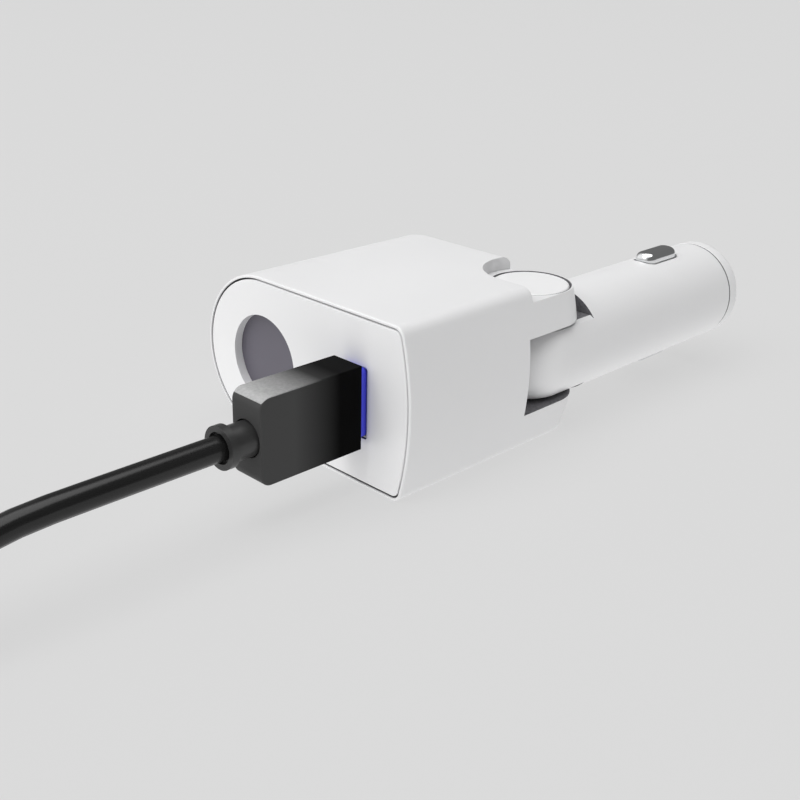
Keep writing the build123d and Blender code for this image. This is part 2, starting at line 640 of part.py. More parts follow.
def make_lead_grip():
    """Moulded body of the lead's plug, with a round pocket for the boot."""
    grip = block(about(PORT_X, GRIP_THICK), (GRIP_BACK, GRIP_FRONT), about(PORT_Z, GRIP_WIDTH))
    grip = fillet(grip.edges().filter_by(Axis.X).group_by(Axis.Y)[0], GRIP_END_ROUND)
    sides = grip.faces().filter_by(Axis.X)
    grip = fillet(sides.edges(), GRIP_ROUND)
    grip -= rod(PORT_X, PORT_Z, BOOT_RADIUS + BOOT_POCKET_GAP, GRIP_BACK, BOOT_START)
    return grip - port_slot(SHELL_THICK, SHELL_WIDTH, ROOT_Y, GRIP_FRONT, SLEEVE_CORNER)


def make_lead_shell():
    """Folded metal sleeve of the lead's plug, from the grip into the port."""
    sleeve = port_slot(SHELL_THICK, SHELL_WIDTH, ROOT_Y, SHELL_END, SLEEVE_CORNER)
    inside = (SHELL_INNER_THICK, SHELL_INNER_WIDTH)
    return sleeve - port_slot(*inside, ROOT_Y, SHELL_END, SLEEVE_INNER_CORNER)


def make_lead_collar():
    """Coloured band round the sleeve, between the grip and the face."""
    band = port_slot(COLLAR_THICK, COLLAR_WIDTH, GRIP_FRONT, PORT_FRONT, COLLAR_CORNER)
    return band - port_slot(SHELL_THICK, SHELL_WIDTH, GRIP_FRONT, PORT_FRONT, SLEEVE_CORNER)


def make_lead_insert():
    """Moulded strip that fills the left half of the sleeve."""
    insert_x = (PORT_X - SHELL_INNER_THICK / 2, PORT_X - TONGUE_SPLIT)
    insert_z = about(PORT_Z, SHELL_INNER_WIDTH - 2 * INSERT_GAP)
    return block(insert_x, (GRIP_FRONT, SHELL_END - INSERT_GAP), insert_z)


def make_lead_contacts():
    """Contacts on the right side of the insert."""
    contact_x = (PORT_X - TONGUE_SPLIT, PORT_X - TONGUE_SPLIT + CONTACT_THICK)
    return contact_strips(contact_x, (PORT_FRONT + CONTACT_SETBACK, SHELL_END - CONTACT_END_GAP))


def make_lead_boot():
    """Sleeve that guards the cable where it leaves the grip, with a ring at its end."""
    boot = rod(PORT_X, PORT_Z, BOOT_RADIUS, BOOT_END, BOOT_START)
    boot += rod(PORT_X, PORT_Z, BOOT_RING_RADIUS, BOOT_END, BOOT_END + BOOT_RING_LENGTH)
    return boot - rod(PORT_X, PORT_Z, CABLE_RADIUS + BOOT_MOUTH_GAP, BOOT_END, CABLE_START)


CABLE_WIDTH = 2 * CABLE_RADIUS
COIL_OUTER_TURN = COIL_RADIUS + CABLE_WIDTH * (COIL_ROWS - 1) / 2
COIL_X = PORT_X - COIL_OUTER_TURN
COIL_CENTRE_Y = CABLE_START - COIL_BACK
COIL_OUTSIDE = COIL_OUTER_TURN + CABLE_RADIUS
COIL_INSIDE = COIL_RADIUS - CABLE_WIDTH * COIL_ROWS / 2
COIL_BOTTOM = TIE_THICKNESS
COIL_TOP = COIL_BOTTOM + CABLE_WIDTH * COIL_LAYERS
TOP_TURN_Z = COIL_TOP - CABLE_RADIUS
LOW_TURN_Z = COIL_BOTTOM + CABLE_RADIUS

# The cable's route from the boot down to the top turn of the coil: how far behind the boot's
# mouth each corner lies, and what share of the whole fall it has made by then
CABLE_FALL = PORT_Z - TOP_TURN_Z
CABLE_ROUTE = [(PORT_X, CABLE_START - back, PORT_Z - fall * CABLE_FALL) for back, fall in CABLE_CORNERS]


def corner_radii(points):
    """Arc at each corner of a route, as large as its two runs allow."""
    places = [Vector(*point) for point in points]
    radii = []
    for before, here, after in zip(places, places[1:], places[2:]):
        run_in, run_out = here - before, after - here
        half_turn = math.radians(run_in.get_angle(run_out)) / 2
        radii.append(BEND_SHARE * min(run_in.length, run_out.length) / math.tan(half_turn))
    return radii


def make_cable_run():
    """Cable from the boot to the coil."""
    path = FilletPolyline(*CABLE_ROUTE, radius=corner_radii(CABLE_ROUTE))
    section = Plane(CABLE_ROUTE[0], z_dir=path % 0) * Circle(CABLE_RADIUS)
    return sweep(section, path)


def make_cable_coil():
    """Outer shape of the coil that holds the rest of the cable."""
    ring = Circle(COIL_OUTSIDE) - Circle(COIL_INSIDE)
    coil = extrude(Pos(COIL_X, COIL_CENTRE_Y, COIL_BOTTOM) * ring, amount=COIL_TOP - COIL_BOTTOM)
    return fillet(coil.edges(), COIL_ROUND)


def make_cable_tie():
    """Flat strap round the coil's turns."""
    inside = math.sqrt(COIL_INSIDE ** 2 - (TIE_WIDTH / 2) ** 2)
    room = (inside - FIT, COIL_OUTSIDE + FIT)
    outer = (room[0] - TIE_THICKNESS, room[1] + TIE_THICKNESS)
    strap_z = (COIL_BOTTOM - TIE_THICKNESS, COIL_TOP + TIE_THICKNESS)
    strap = block(outer, about(0, TIE_WIDTH), strap_z)
    strap = fillet(strap.edges().filter_by(Axis.Y), TIE_ROUND)
    hole = block(room, about(0, TIE_WIDTH * 2), (COIL_BOTTOM, COIL_TOP))
    hole = fillet(hole.edges().filter_by(Axis.Y), TIE_INNER_ROUND)
    return Pos(COIL_X, COIL_CENTRE_Y, 0) * Rot(0, 0, TIE_ANGLE) * (strap - hole)


TAIL_X = COIL_X - COIL_OUTER_TURN
TAIL_END = COIL_CENTRE_Y + TAIL_LENGTH
FAR_END = TAIL_END + FAR_LENGTH
FAR_Z = max(LOW_TURN_Z, FAR_HEIGHT / 2)


def make_cable_tail():
    """Last of the cable, from the coil's lowest turn to the far plug."""
    return rod(TAIL_X, LOW_TURN_Z, CABLE_RADIUS, COIL_CENTRE_Y, TAIL_END)


def make_far_grip():
    """Moulded body of the far plug, on the same surface as the coil."""
    grip = block(about(TAIL_X, FAR_WIDTH), (TAIL_END, FAR_END), about(FAR_Z, FAR_HEIGHT))
    return fillet(grip.edges().filter_by(Axis.Y) + grip.edges().group_by(Axis.Y)[0], FAR_ROUND)


def make_far_shell():
    """Drawn metal mouth of the far plug."""
    outline = RectangleRounded(FAR_SHELL_WIDTH, FAR_SHELL_HEIGHT, FAR_SHELL_ROUND)
    outline = Pos(TAIL_X, FAR_Z) * outline
    mouth = offset(outline, -FAR_SHELL_WALL)
    shell = along_y(outline, FAR_END, FAR_SHELL_LENGTH)
    return shell - along_y(mouth, FAR_END + FAR_SHELL_WALL, FAR_SHELL_LENGTH)


UPPER_CONTACT = make_side_contact()
UPPER_LEAF = make_contact_leaf()

NODES = {
    "housing": make_housing(),
    "front_plate": make_front_plate(),
    "window_lens": make_window_lens(),
    "indicator_board": make_indicator_board(),
    "indicator_led": make_indicator_led(),
    "port_shell": make_port_shell(),
    "port_tongue": make_port_tongue(),
    "port_contacts": make_port_contacts(),
    "circuit_board": make_circuit_board(),
    "inductor": make_inductor(),
    "input_capacitor": make_can(INPUT_CAN_PLACE, LOW_ROW_Z, INPUT_CAN_RADIUS, INPUT_CAN_HEIGHT),
    "output_capacitor": make_can(OUTPUT_CAN_PLACE, HIGH_ROW_Z, OUTPUT_CAN_RADIUS, OUTPUT_CAN_HEIGHT),
    "converter_chip": make_converter_chip(),
    "pivot_pin": make_pivot_pin(),
    "pivot_cap": make_pivot_cap(),
    "friction_washer": make_friction_washer(),
    "plug_barrel": make_plug_barrel(),
    "fuse_carrier": make_fuse_carrier(),
    "nose_cap": make_nose_cap(),
    "tip_contact": make_tip_contact(),
    "fuse_glass": make_fuse_glass(),
    "fuse_caps": make_fuse_caps(),
    "fuse_wire": make_fuse_wire(),
    "tip_spring": make_tip_spring(),
    "fuse_terminal": make_fuse_terminal(),
    "upper_side_contact": UPPER_CONTACT,
    "lower_side_contact": below(UPPER_CONTACT),
    "upper_contact_leaf": UPPER_LEAF,
    "lower_contact_leaf": below(UPPER_LEAF),
    "lead_grip": make_lead_grip(),
    "lead_shell": make_lead_shell(),
    "lead_collar": make_lead_collar(),
    "lead_insert": make_lead_insert(),
    "lead_contacts": make_lead_contacts(),
    "lead_boot": make_lead_boot(),
    "cable_run": make_cable_run(),
    "cable_coil": make_cable_coil(),
    "cable_tie": make_cable_tie(),
    "cable_tail": make_cable_tail(),
    "far_grip": make_far_grip(),
    "far_shell": make_far_shell(),
}

os.makedirs("parts", exist_ok=True)
for node, solid in NODES.items():
    export_step(solid, f"parts/{node}.step")
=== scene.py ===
import bpy
import numpy as np
from mathutils import Matrix, Vector


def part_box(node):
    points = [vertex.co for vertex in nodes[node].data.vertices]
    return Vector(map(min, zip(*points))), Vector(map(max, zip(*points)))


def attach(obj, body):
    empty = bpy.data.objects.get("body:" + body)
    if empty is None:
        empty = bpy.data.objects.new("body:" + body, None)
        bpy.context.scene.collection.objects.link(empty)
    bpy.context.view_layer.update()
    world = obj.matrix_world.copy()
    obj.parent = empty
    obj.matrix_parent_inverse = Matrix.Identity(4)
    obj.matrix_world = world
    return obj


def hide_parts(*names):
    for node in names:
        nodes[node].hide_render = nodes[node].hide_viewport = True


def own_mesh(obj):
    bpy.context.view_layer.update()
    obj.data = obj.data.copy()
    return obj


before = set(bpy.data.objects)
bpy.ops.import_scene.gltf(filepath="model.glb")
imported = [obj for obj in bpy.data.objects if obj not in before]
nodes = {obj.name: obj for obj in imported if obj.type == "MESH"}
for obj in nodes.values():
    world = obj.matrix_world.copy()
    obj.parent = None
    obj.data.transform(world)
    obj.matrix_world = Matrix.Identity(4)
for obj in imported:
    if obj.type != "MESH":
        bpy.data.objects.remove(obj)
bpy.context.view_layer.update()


# Camera: a long lens from the right of the face, looking down on the head.
# Its turn, place and focal length were fitted to the edges of the object in the photograph.
picture_pixels, focal_pixels, sensor_width = 800, 1158.37, 36
yaw, pitch, roll = np.radians((-44.499, 23.087, -1.421))
forward = np.array([np.sin(yaw) * np.cos(pitch), np.cos(yaw) * np.cos(pitch), -np.sin(pitch)])
level_right = np.array([np.cos(yaw), -np.sin(yaw), 0.0])
level_down = np.cross(forward, level_right)
lens = bpy.data.cameras.new("camera")
lens.sensor_width = sensor_width
lens.lens = sensor_width * focal_pixels / picture_pixels
lens.clip_start = 0.005
camera = bpy.data.objects.new("camera", lens)
bpy.context.collection.objects.link(camera)
stand = np.eye(4)
stand[:3, 0] = np.cos(roll) * level_right + np.sin(roll) * level_down
stand[:3, 1] = np.sin(roll) * level_right - np.cos(roll) * level_down
stand[:3, 2] = -forward
stand[:3, 3] = (0.148243, -0.180885, 0.09455)
camera.matrix_world = Matrix(stand.tolist())
bpy.context.scene.camera = camera
bpy.context.scene.view_settings.view_transform = "Standard"


# Floor: a sheet of pale card on a light table, which lights the charger from below.
# The camera and glossy parts see mostly an even grey, and the charger's soft shadow in the rest.
class Signal:
    """A node's output socket; sums on it add Math nodes to its tree."""

    def __init__(self, socket):
        self.socket = socket

    def node(self, kind, settings, inputs, output=0):
        """Adds a node with its settings set first, then its sockets' links or values."""
        added = self.socket.id_data.nodes.new(kind)
        for name, value in settings.items():
            setattr(added, name, value)
        for name, value in inputs.items():
            connect(value, added.inputs[name])
        return Signal(added.outputs[output])

    def __add__(self, other):
        return self.node("ShaderNodeMath", {"operation": "ADD"}, {0: self, 1: other})

    def __sub__(self, other):
        return self.node("ShaderNodeMath", {"operation": "SUBTRACT"}, {0: self, 1: other})

    def __rsub__(self, other):
        return self.node("ShaderNodeMath", {"operation": "SUBTRACT"}, {0: other, 1: self})

    def __mul__(self, other):
        return self.node("ShaderNodeMath", {"operation": "MULTIPLY"}, {0: self, 1: other})

    def __lt__(self, other):
        return self.node("ShaderNodeMath", {"operation": "LESS_THAN"}, {0: self, 1: other})

    def __gt__(self, other):
        return self.node("ShaderNodeMath", {"operation": "GREATER_THAN"}, {0: self, 1: other})

    def __abs__(self):
        return self.node("ShaderNodeMath", {"operation": "ABSOLUTE"}, {0: self})

    __radd__ = __add__
    __rmul__ = __mul__


def connect(value, socket):
    """Links a signal to a socket, or sets the socket's own value."""
    if isinstance(value, Signal):
        socket.id_data.links.new(value.socket, socket)
    else:
        socket.default_value = value


def blend(share, first, second):
    """Mix of two colours, by a share from 0 to 1."""
    return share.node("ShaderNodeMix", {"data_type": "RGBA"}, {"Factor": share, 6: first, 7: second}, 2)


def grey(tone):
    """Colour of one tone."""
    return (tone, tone, tone, 1)


floor_side, seen_tone, table_tone, even_share = 8.0, 0.682, 1.25, 0.82
card = bpy.data.materials.new("floor_card")
card.use_nodes = True
card_nodes = card.node_tree.nodes
card_nodes.remove(card_nodes["Principled BSDF"])
rays = card_nodes.new("ShaderNodeLightPath").outputs
shown = Signal(rays["Is Camera Ray"]) + Signal(rays["Is Glossy Ray"]) + Signal(rays["Is Transmission Ray"])
card_place = Signal(card_nodes.new("ShaderNodeTexCoord").outputs["Object"])
fibre = card_place.node("ShaderNodeTexNoise", {}, {"Vector": card_place, "Scale": 900.0, "Detail": 3.0})
lit = fibre.node("ShaderNodeBsdfDiffuse", {}, {"Color": blend(fibre, grey(0.69), grey(0.71))})
glow = blend(shown > 0.5, grey(table_tone), grey(seen_tone))
even = fibre.node("ShaderNodeEmission", {}, {"Color": glow, "Strength": 1.0})
surface = fibre.node("ShaderNodeMixShader", {}, {"Fac": even_share, 1: lit, 2: even})
connect(surface, card_nodes["Material Output"].inputs["Surface"])
corners = floor_side / 2 * np.array([(-1, -1, 0), (1, -1, 0), (1, 1, 0), (-1, 1, 0)])
floor_mesh = bpy.data.meshes.new("floor")
floor_mesh.from_pydata(corners.tolist(), [], [(0, 1, 2, 3)])
floor_mesh.materials.append(card)
floor = bpy.data.objects.new("floor", floor_mesh)
bpy.context.collection.objects.link(floor)


# Light: a white tent, bright overhead and at the left front and dim elsewhere, with a soft lamp in front.
# Its walls pass softly from bright to dim, and the camera and glossy parts see the same tent.
def axes(vector):
    """The three parts of a vector."""
    return [vector.node("ShaderNodeSeparateXYZ", {}, {"Vector": vector}, part) for part in range(3)]


dim_tone, left_tone, overhead_tone, overhead_from = 0.15, 0.95, 2.4, 0.85
sky = bpy.data.worlds.new("sky")
sky.use_nodes = True
sky_nodes = sky.node_tree.nodes
to_right, to_back, upward = axes(Signal(sky_nodes.new("ShaderNodeTexCoord").outputs["Generated"]))
leftward = to_right.node("ShaderNodeMapRange", {}, {"Value": to_right, "From Min": 0.6, "From Max": 0.0})
frontward = to_back.node("ShaderNodeMapRange", {}, {"Value": to_back, "From Min": 0.4, "From Max": -0.2})
tent = blend(leftward * frontward, grey(dim_tone), grey(left_tone))
tent = blend(upward > overhead_from, tent, grey(overhead_tone))
connect(tent, sky_nodes["Background"].inputs["Color"])
bpy.context.scene.world = sky

lamp_target = Vector((0, -0.02, 0.015))
front_light = bpy.data.lights.new("front_lamp", "AREA")
front_light.size = 0.9
front_light.energy = 6.5
front_lamp = bpy.data.objects.new("front_lamp", front_light)
bpy.context.collection.objects.link(front_lamp)
front_lamp.location = (-0.25, -1.00, 1.20)
front_lamp.rotation_euler = (lamp_target - front_lamp.location).to_track_quat("-Z", "Y").to_euler()


# Housing: one moulding in white ABS, a D-shaped sleeve with the fork of the hinge on its back.
# The outside has the fine grain of a spark-eroded mould; the slot, the cap's seat and the seam round the
# plate are painted dark as shade.
def new_finish(name, *node_names):
    """Material on some CAD nodes: its shader's sockets and its Object coordinates."""
    finish = bpy.data.materials.new(name)
    finish.use_nodes = True
    for node_name in node_names:
        nodes[node_name].data.materials.clear()
        nodes[node_name].data.materials.append(finish)
    place = finish.node_tree.nodes.new("ShaderNodeTexCoord").outputs["Object"]
    return finish.node_tree.nodes["Principled BSDF"].inputs, Signal(place)


def facing(place):
    """The three parts of the faces' directions, in the material that a place belongs to."""
    return axes(Signal(place.socket.node.outputs["Normal"]))


def speckle(place, size, stretch=(1.0, 1.0, 1.0)):
    """Noise with spots of a size in metres, drawn out where the stretch is small."""
    drawn = place.node("ShaderNodeMapping", {}, {"Vector": place, "Scale": stretch})
    return place.node("ShaderNodeTexNoise", {}, {"Vector": drawn, "Scale": 1.0 / size, "Detail": 3.0})


def emboss(shader, height, depth):
    """Bump, depth metres deep, of a height from 0 to 1."""
    bump = height.node("ShaderNodeBump", {}, {"Height": height, "Distance": depth})
    connect(bump, shader["Normal"])


def white_moulding(shader, place, tone, roughness, grain, dust_and_painted_shade):
    """White plastic: cloudy tone and gloss, the mould's grain, and a dark colour where the mask is 1, which
    is dust on some parts and painted shade on others.
    """
    clouds = speckle(place, 0.022)
    white = blend(clouds, tuple(0.97 * part for part in tone) + (1,), tone + (1,))
    dust_and_shade_film = blend(speckle(place, 0.0006), (0.060, 0.059, 0.063, 1), (0.250, 0.246, 0.262, 1))
    connect(blend(dust_and_painted_shade, white, dust_and_shade_film), shader["Base Color"])
    connect(roughness + (clouds - 0.5) * 0.16 + dust_and_painted_shade * 0.3, shader["Roughness"])
    emboss(shader, speckle(place, grain), 0.000012)


pivot_x, pivot_y, mid_z = 0.0175, -0.0133, 0.0160
face_mid_x, gap_from, gap_to = 0.004, 0.0003, 0.0019
seat_radius, seat_z = 0.0078, 0.0272
slot_mid_z, slot_half_height = 0.01545, 0.00755
front_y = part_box("housing")[0][1]
shader, place = new_finish("white_grain", "housing")
across, along, up = axes(place)
face_x, face_z = facing(place)[::2]
inward = (across - face_mid_x) * face_x + (up - mid_z) * face_z < 0.00001
# Painted shade: the seam in the mouth is painted dark at the left and the bottom only, and the cap's seat
# and the slot's floor and ceiling are painted dark too.
shaded_sides = (across < -0.014) + (up < 0.004) > 0.5
mouth = (along > front_y + gap_from) * (along < front_y + gap_to) * inward * shaded_sides
from_pivot = (across - pivot_x) * (across - pivot_x) + (along - pivot_y) * (along - pivot_y)
cap_seat = (from_pivot < seat_radius ** 2) * (up > seat_z)
slot_floor = (abs(abs(up - slot_mid_z) - slot_half_height) < 0.00005) * (abs(face_z) > 0.9)
painted_shading = (mouth + cap_seat + slot_floor > 0.5) * 1.0
white_moulding(shader, place, (0.79, 0.79, 0.795), 0.42, 0.00022, painted_shading)


# Front plate: a separate moulding in the same white, polished, welded to a ledge in the housing's mouth.
# A narrow gap runs round it, and a collar behind its round opening holds the window.
opening_from_x, opening_to_x, opening_half_height = 0.0060, 0.0215, 0.012
shader, place = new_finish("white_polish", "front_plate")
across, up = axes(place)[::2]
edge = abs(facing(place)[1]) < 0.5
beside_port = (across > opening_from_x) * (across < opening_to_x)
# The walls of the port's opening are painted dark as shade.
port_opening = edge * beside_port * (abs(up - mid_z) < opening_half_height)
white_moulding(shader, place, (0.82, 0.82, 0.825), 0.30, 0.0005, port_opening)


# Window: a disc of smoked acrylic pressed against the back of the plate, frosted all over.
# It spreads the light of a small lamp, which stands on a round board in the collar's end.
shader, place = new_finish("smoked_acrylic", "window_lens")
frost = speckle(place, 0.00025)
smoke = blend(speckle(place, 0.008), (0.112, 0.105, 0.130, 1), (0.126, 0.118, 0.146, 1))
connect(smoke, shader["Base Color"])
connect(0.36 + frost * 0.14, shader["Roughness"])
emboss(shader, frost, 0.000006)

shader, place = new_finish("white_mask", "indicator_board")
cloud = speckle(place, 0.003)
connect(blend(cloud, (0.62, 0.63, 0.60, 1), (0.74, 0.74, 0.72, 1)), shader["Base Color"])
connect(0.35 + cloud * 0.2, shader["Roughness"])

core_half = 0.001
lamp_low, lamp_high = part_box("indicator_led")
lamp_centre = (lamp_low + lamp_high) / 2
shader, place = new_finish("lamp_phosphor", "indicator_led")
across, up = axes(place)[::2]
core = (abs(across - lamp_centre[0]) < core_half) * (abs(up - lamp_centre[2]) < core_half)
connect(blend(core, (0.75, 0.75, 0.73, 1), (0.78, 0.62, 0.10, 1)), shader["Base Color"])
connect(0.25 + speckle(place, 0.0004) * 0.2, shader["Roughness"])


# USB port: a folded sleeve of tinned steel round a black tongue with four gilt contacts.
# It is soldered to the upright circuit board, and its mouth stands in the plate's opening.
def plating(shader, place, tone, roughness, stretch):
    """Bright metal: fine marks along the way it was drawn, and a light haze."""
    marks = speckle(place, 0.0003, stretch)
    connect(blend(marks, tuple(0.86 * part for part in tone) + (1,), tone + (1,)), shader["Base Color"])
    connect(roughness + marks * 0.10 + speckle(place, 0.006) * 0.06, shader["Roughness"])
    emboss(shader, marks, 0.000003)
    shader["Metallic"].default_value = 1.0


def black_moulding(shader, place, tone, roughness, grain):
    """Black plastic or rubber: cloudy tone and gloss with a fine grain."""
    clouds = speckle(place, 0.009)
    connect(blend(clouds, tone + (1,), tuple(1.25 * part for part in tone) + (1,)), shader["Base Color"])
    connect(roughness + (clouds - 0.5) * 0.14, shader["Roughness"])
    emboss(shader, speckle(place, grain), 0.00001)


lengthwise = (1.0, 0.06, 1.0)
tin, gilt = (0.74, 0.75, 0.76), (0.83, 0.62, 0.28)
plating(*new_finish("port_tin", "port_shell"), tin, 0.24, lengthwise)
black_moulding(*new_finish("port_black", "port_tongue"), (0.018, 0.018, 0.019), 0.45, 0.0003)
plating(*new_finish("port_gilt", "port_contacts"), gilt, 0.18, lengthwise)


# Circuit board: green glass-fibre board that stands between rails in the housing.
# It carries a drum inductor, two aluminium cans and the converter chip.
shader, place = new_finish("board_green", "circuit_board")
weave = place.node("ShaderNodeTexBrick", {}, {"Vector": place, "Scale": 220.0, "Mortar Size": 0.04}, 1)
bands = {"Vector": place, "Scale": 160.0, "Distortion": 3.0}
tracks = place.node("ShaderNodeTexWave", {"bands_direction": "Z"}, bands, 1) > 0.72
connect(blend(tracks, (0.010, 0.080, 0.030, 1), (0.030, 0.160, 0.060, 1)), shader["Base Color"])
connect(0.30 + weave * 0.15, shader["Roughness"])
emboss(shader, tracks, 0.00003)

drum_flange = 0.001
drum_low, drum_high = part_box("inductor")
shader, place = new_finish("ferrite_and_copper", "inductor")
across = axes(place)[0]
wound = (across > drum_low[0] + drum_flange) * (across < drum_high[0] - drum_flange)
wires = place.node("ShaderNodeTexWave", {"bands_direction": "X"}, {"Vector": place, "Scale": 480.0}, 1)
ferrite = blend(speckle(place, 0.0008), (0.024, 0.023, 0.024, 1), (0.040, 0.039, 0.041, 1))
connect(blend(wound, ferrite, (0.55, 0.20, 0.07, 1)), shader["Base Color"])
connect(wound * 0.9, shader["Metallic"])
connect(0.55 - wound * 0.25, shader["Roughness"])
emboss(shader, wires * wound, 0.00008)

bare_end = 0.0006
for can in ("input_capacitor", "output_capacitor"):
    can_base_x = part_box(can)[0][0]
    shader, place = new_finish(can + "_sleeve", can)
    bare = (axes(place)[0] < can_base_x + bare_end) * 1.0
    sleeve = blend(speckle(place, 0.002), (0.020, 0.022, 0.030, 1), (0.035, 0.038, 0.050, 1))
    connect(blend(bare, sleeve, (0.76, 0.77, 0.78, 1)), shader["Base Color"])
    connect(bare, shader["Metallic"])
    connect(0.38 - bare * 0.12, shader["Roughness"])

black_moulding(*new_finish("chip_epoxy", "converter_chip"), (0.020, 0.020, 0.021), 0.55, 0.00012)


# Hinge: a hollow steel pin, dropped through both arms of the fork on a washer of natural acetal.
# A smooth white cap is pressed into the pin's bore, flush with the upper arm.
plating(*new_finish("pin_steel", "pivot_pin"), (0.62, 0.62, 0.63), 0.22, (1.0, 1.0, 0.05))
shader, place = new_finish("washer_acetal", "friction_washer")
white_moulding(shader, place, (0.72, 0.71, 0.66), 0.40, 0.0003, speckle(place, 0.002) > 0.75)
shader, place = new_finish("white_cap", "pivot_cap")
# The cap's downward faces are painted dark as shade.
white_moulding(shader, place, (0.87, 0.87, 0.875), 0.34, 0.0004, facing(place)[2] < -0.5)


# Plug: a hollow white barrel that ends in the hinge's knuckle, with a carrier for the fuse inside.
# The barrel is smoother than the head and has less gloss; its shoulder and flats are painted dark as shade.
shoulder_y, plug_gloss = -0.0036, 0.2
shader, place = new_finish("white_satin", "plug_barrel")
along = axes(place)[1]
face_y, face_z = facing(place)[1:]
# The shoulder and the flats are painted dark as shade.
shoulder = (abs(along - shoulder_y) < 0.0001) * (face_y < -0.9)
flats = (along < shoulder_y) * (abs(face_z) > 0.97)
painted_shading = (shoulder + flats > 0.5) * 1.0
white_moulding(shader, place, (0.79, 0.79, 0.795), 0.34, 0.00035, painted_shading)
shader["Specular IOR Level"].default_value = plug_gloss
black_moulding(*new_finish("carrier_black", "fuse_carrier"), (0.022, 0.022, 0.023), 0.5, 0.0003)


# Nose: a white cap, rounded in front, that screws into the barrel and holds the tip and the fuse in.
# A narrow groove with a bevelled edge runs round it where the two meet, and it is painted dark as shade.
groove_from_end = 0.00385
nose_end_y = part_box("nose_cap")[1][1]
shader, place = new_finish("white_nose", "nose_cap")
# The groove is painted dark as shade.
groove = axes(place)[1] < nose_end_y - groove_from_end
white_moulding(shader, place, (0.80, 0.80, 0.805), 0.34, 0.00035, groove)
shader["Specular IOR Level"].default_value = plug_gloss


# Tip and fuse: a turned nickel tip on a spring, with a glass fuse between the two.
# The fuse has nickel cups on its ends and a fine tinned wire inside.
shader, place = new_finish("turned_nickel", "tip_contact")
cuts = {"Vector": place, "Scale": 1500.0, "Distortion": 1.0}
rings = place.node("ShaderNodeTexWave", {"bands_direction": "Y"}, cuts, 1)
wear = speckle(place, 0.0024)
connect(blend(wear, (0.66, 0.63, 0.57, 1), (0.80, 0.78, 0.73, 1)), shader["Base Color"])
connect(0.16 + rings * 0.08 + wear * 0.08, shader["Roughness"])
emboss(shader, rings, 0.000004)
shader["Metallic"].default_value = 1.0

fuse_metal = new_finish("fuse_nickel", "fuse_caps", "fuse_terminal", "fuse_wire")
plating(*fuse_metal, (0.76, 0.75, 0.72), 0.18, (1.0, 1.0, 0.2))
shader, place = new_finish("fuse_tube", "fuse_glass")
connect(0.02 + speckle(place, 0.005) * 0.04, shader["Roughness"])
shader["Base Color"].default_value = (0.93, 0.97, 0.95, 1)
shader["Transmission Weight"].default_value = 1.0
shader["IOR"].default_value = 1.5


# Springs: hard steel wire wound in open turns behind the fuse, and an arched leaf under each side contact.
# Each one shortens by a little more than its contact's travel when a socket pushes that contact in.
def solid_of_rings(name, rings):
    """Piece from rings of points, one ring for each step of a path, with both ends closed."""
    steps, sides = rings.shape[:2]
    here = np.arange(steps - 1)[:, None] * sides + np.arange(sides)
    beside = np.arange(steps - 1)[:, None] * sides + (np.arange(sides) + 1) % sides
    walls = np.stack([here, beside, beside + sides, here + sides], axis=-1).reshape(-1, 4)
    ends = [np.arange(sides)[::-1].tolist(), (np.arange(sides) + (steps - 1) * sides).tolist()]
    mesh = bpy.data.meshes.new(name)
    mesh.from_pydata(rings.reshape(-1, 3).tolist(), [], walls.tolist() + ends)
    mesh.materials.append(bpy.data.materials["spring_steel"])
    piece = bpy.data.objects.new(name, mesh)
    bpy.context.collection.objects.link(piece)
    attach(piece, "plug")
    return piece


def wound_wire(start, length, radius, wire_radius, windings):
    """Helix along Y: a circle of the wire's radius about each point of it, in the plane of two directions,
    outward from the axis and square to both the wire and that."""
    turned = np.linspace(0, 2 * np.pi * windings, 109)[:, None]
    rise = (length - 2 * wire_radius) / (2 * np.pi * windings)
    level = np.zeros_like(turned)
    outward = np.concatenate([np.cos(turned), level, np.sin(turned)], axis=1)
    ahead = np.concatenate([-radius * np.sin(turned), level + rise, radius * np.cos(turned)], axis=1)
    aside = np.cross(ahead / np.linalg.norm(ahead, axis=1, keepdims=True), outward)
    middle = np.array(start) + radius * outward
    middle[:, 1:2] += wire_radius + rise * turned
    way_round = np.linspace(0, 2 * np.pi, 8, endpoint=False)[None, :, None]
    skin = np.cos(way_round) * outward[:, None] + np.sin(way_round) * aside[:, None]
    return middle[:, None] + wire_radius * skin


def arched_leaf(low, high, thickness, outer):
    """Strip along Y: a rectangle carried along a parabola, whose height is 1 less the square of the
    share of the way from the middle to an end; outer is 1 to arch upward and -1 downward."""
    share = np.linspace(-1, 1, 25)[:, None]
    arch = (high[2] - low[2] - thickness) * (1 - share * share) + thickness * np.array([0, 0, 1, 1])
    strip = np.empty((25, 4, 3))
    strip[..., 0] = pivot_x + outer * (high[0] - pivot_x) * np.array([1, -1, -1, 1])
    strip[..., 1] = (low[1] + high[1]) / 2 + share * (high[1] - low[1]) / 2
    strip[..., 2] = (low[2] if outer > 0 else high[2]) + outer * arch
    return strip


plating(*new_finish("spring_steel"), (0.58, 0.58, 0.60), 0.26, (1.0, 0.2, 1.0))
spring_low, spring_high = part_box("tip_spring")
spring_length = spring_high[1] - spring_low[1]
spring_start = (pivot_x, spring_low[1], mid_z)
tip_spring = solid_of_rings("tip_spring_wire", wound_wire(spring_start, spring_length, 0.0026, 0.0003, 4.5))
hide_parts("tip_spring")
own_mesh(tip_spring)

for side, outer in (("upper", 1), ("lower", -1)):
    leaf_low, leaf_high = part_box(side + "_contact_leaf")
    leaf = solid_of_rings(side + "_leaf", arched_leaf(leaf_low, leaf_high, 0.0003, outer))
    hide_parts(side + "_contact_leaf")
    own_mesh(leaf)


# Side contacts: pressed spring contacts in chromed steel, one above and one below the barrel.
# Sliding in and out of sockets leaves fine scratches along them.
side_contacts = new_finish("chromed_steel", "upper_side_contact", "lower_side_contact")
plating(*side_contacts, (0.90, 0.91, 0.92), 0.05, (1.0, 0.04, 1.0))
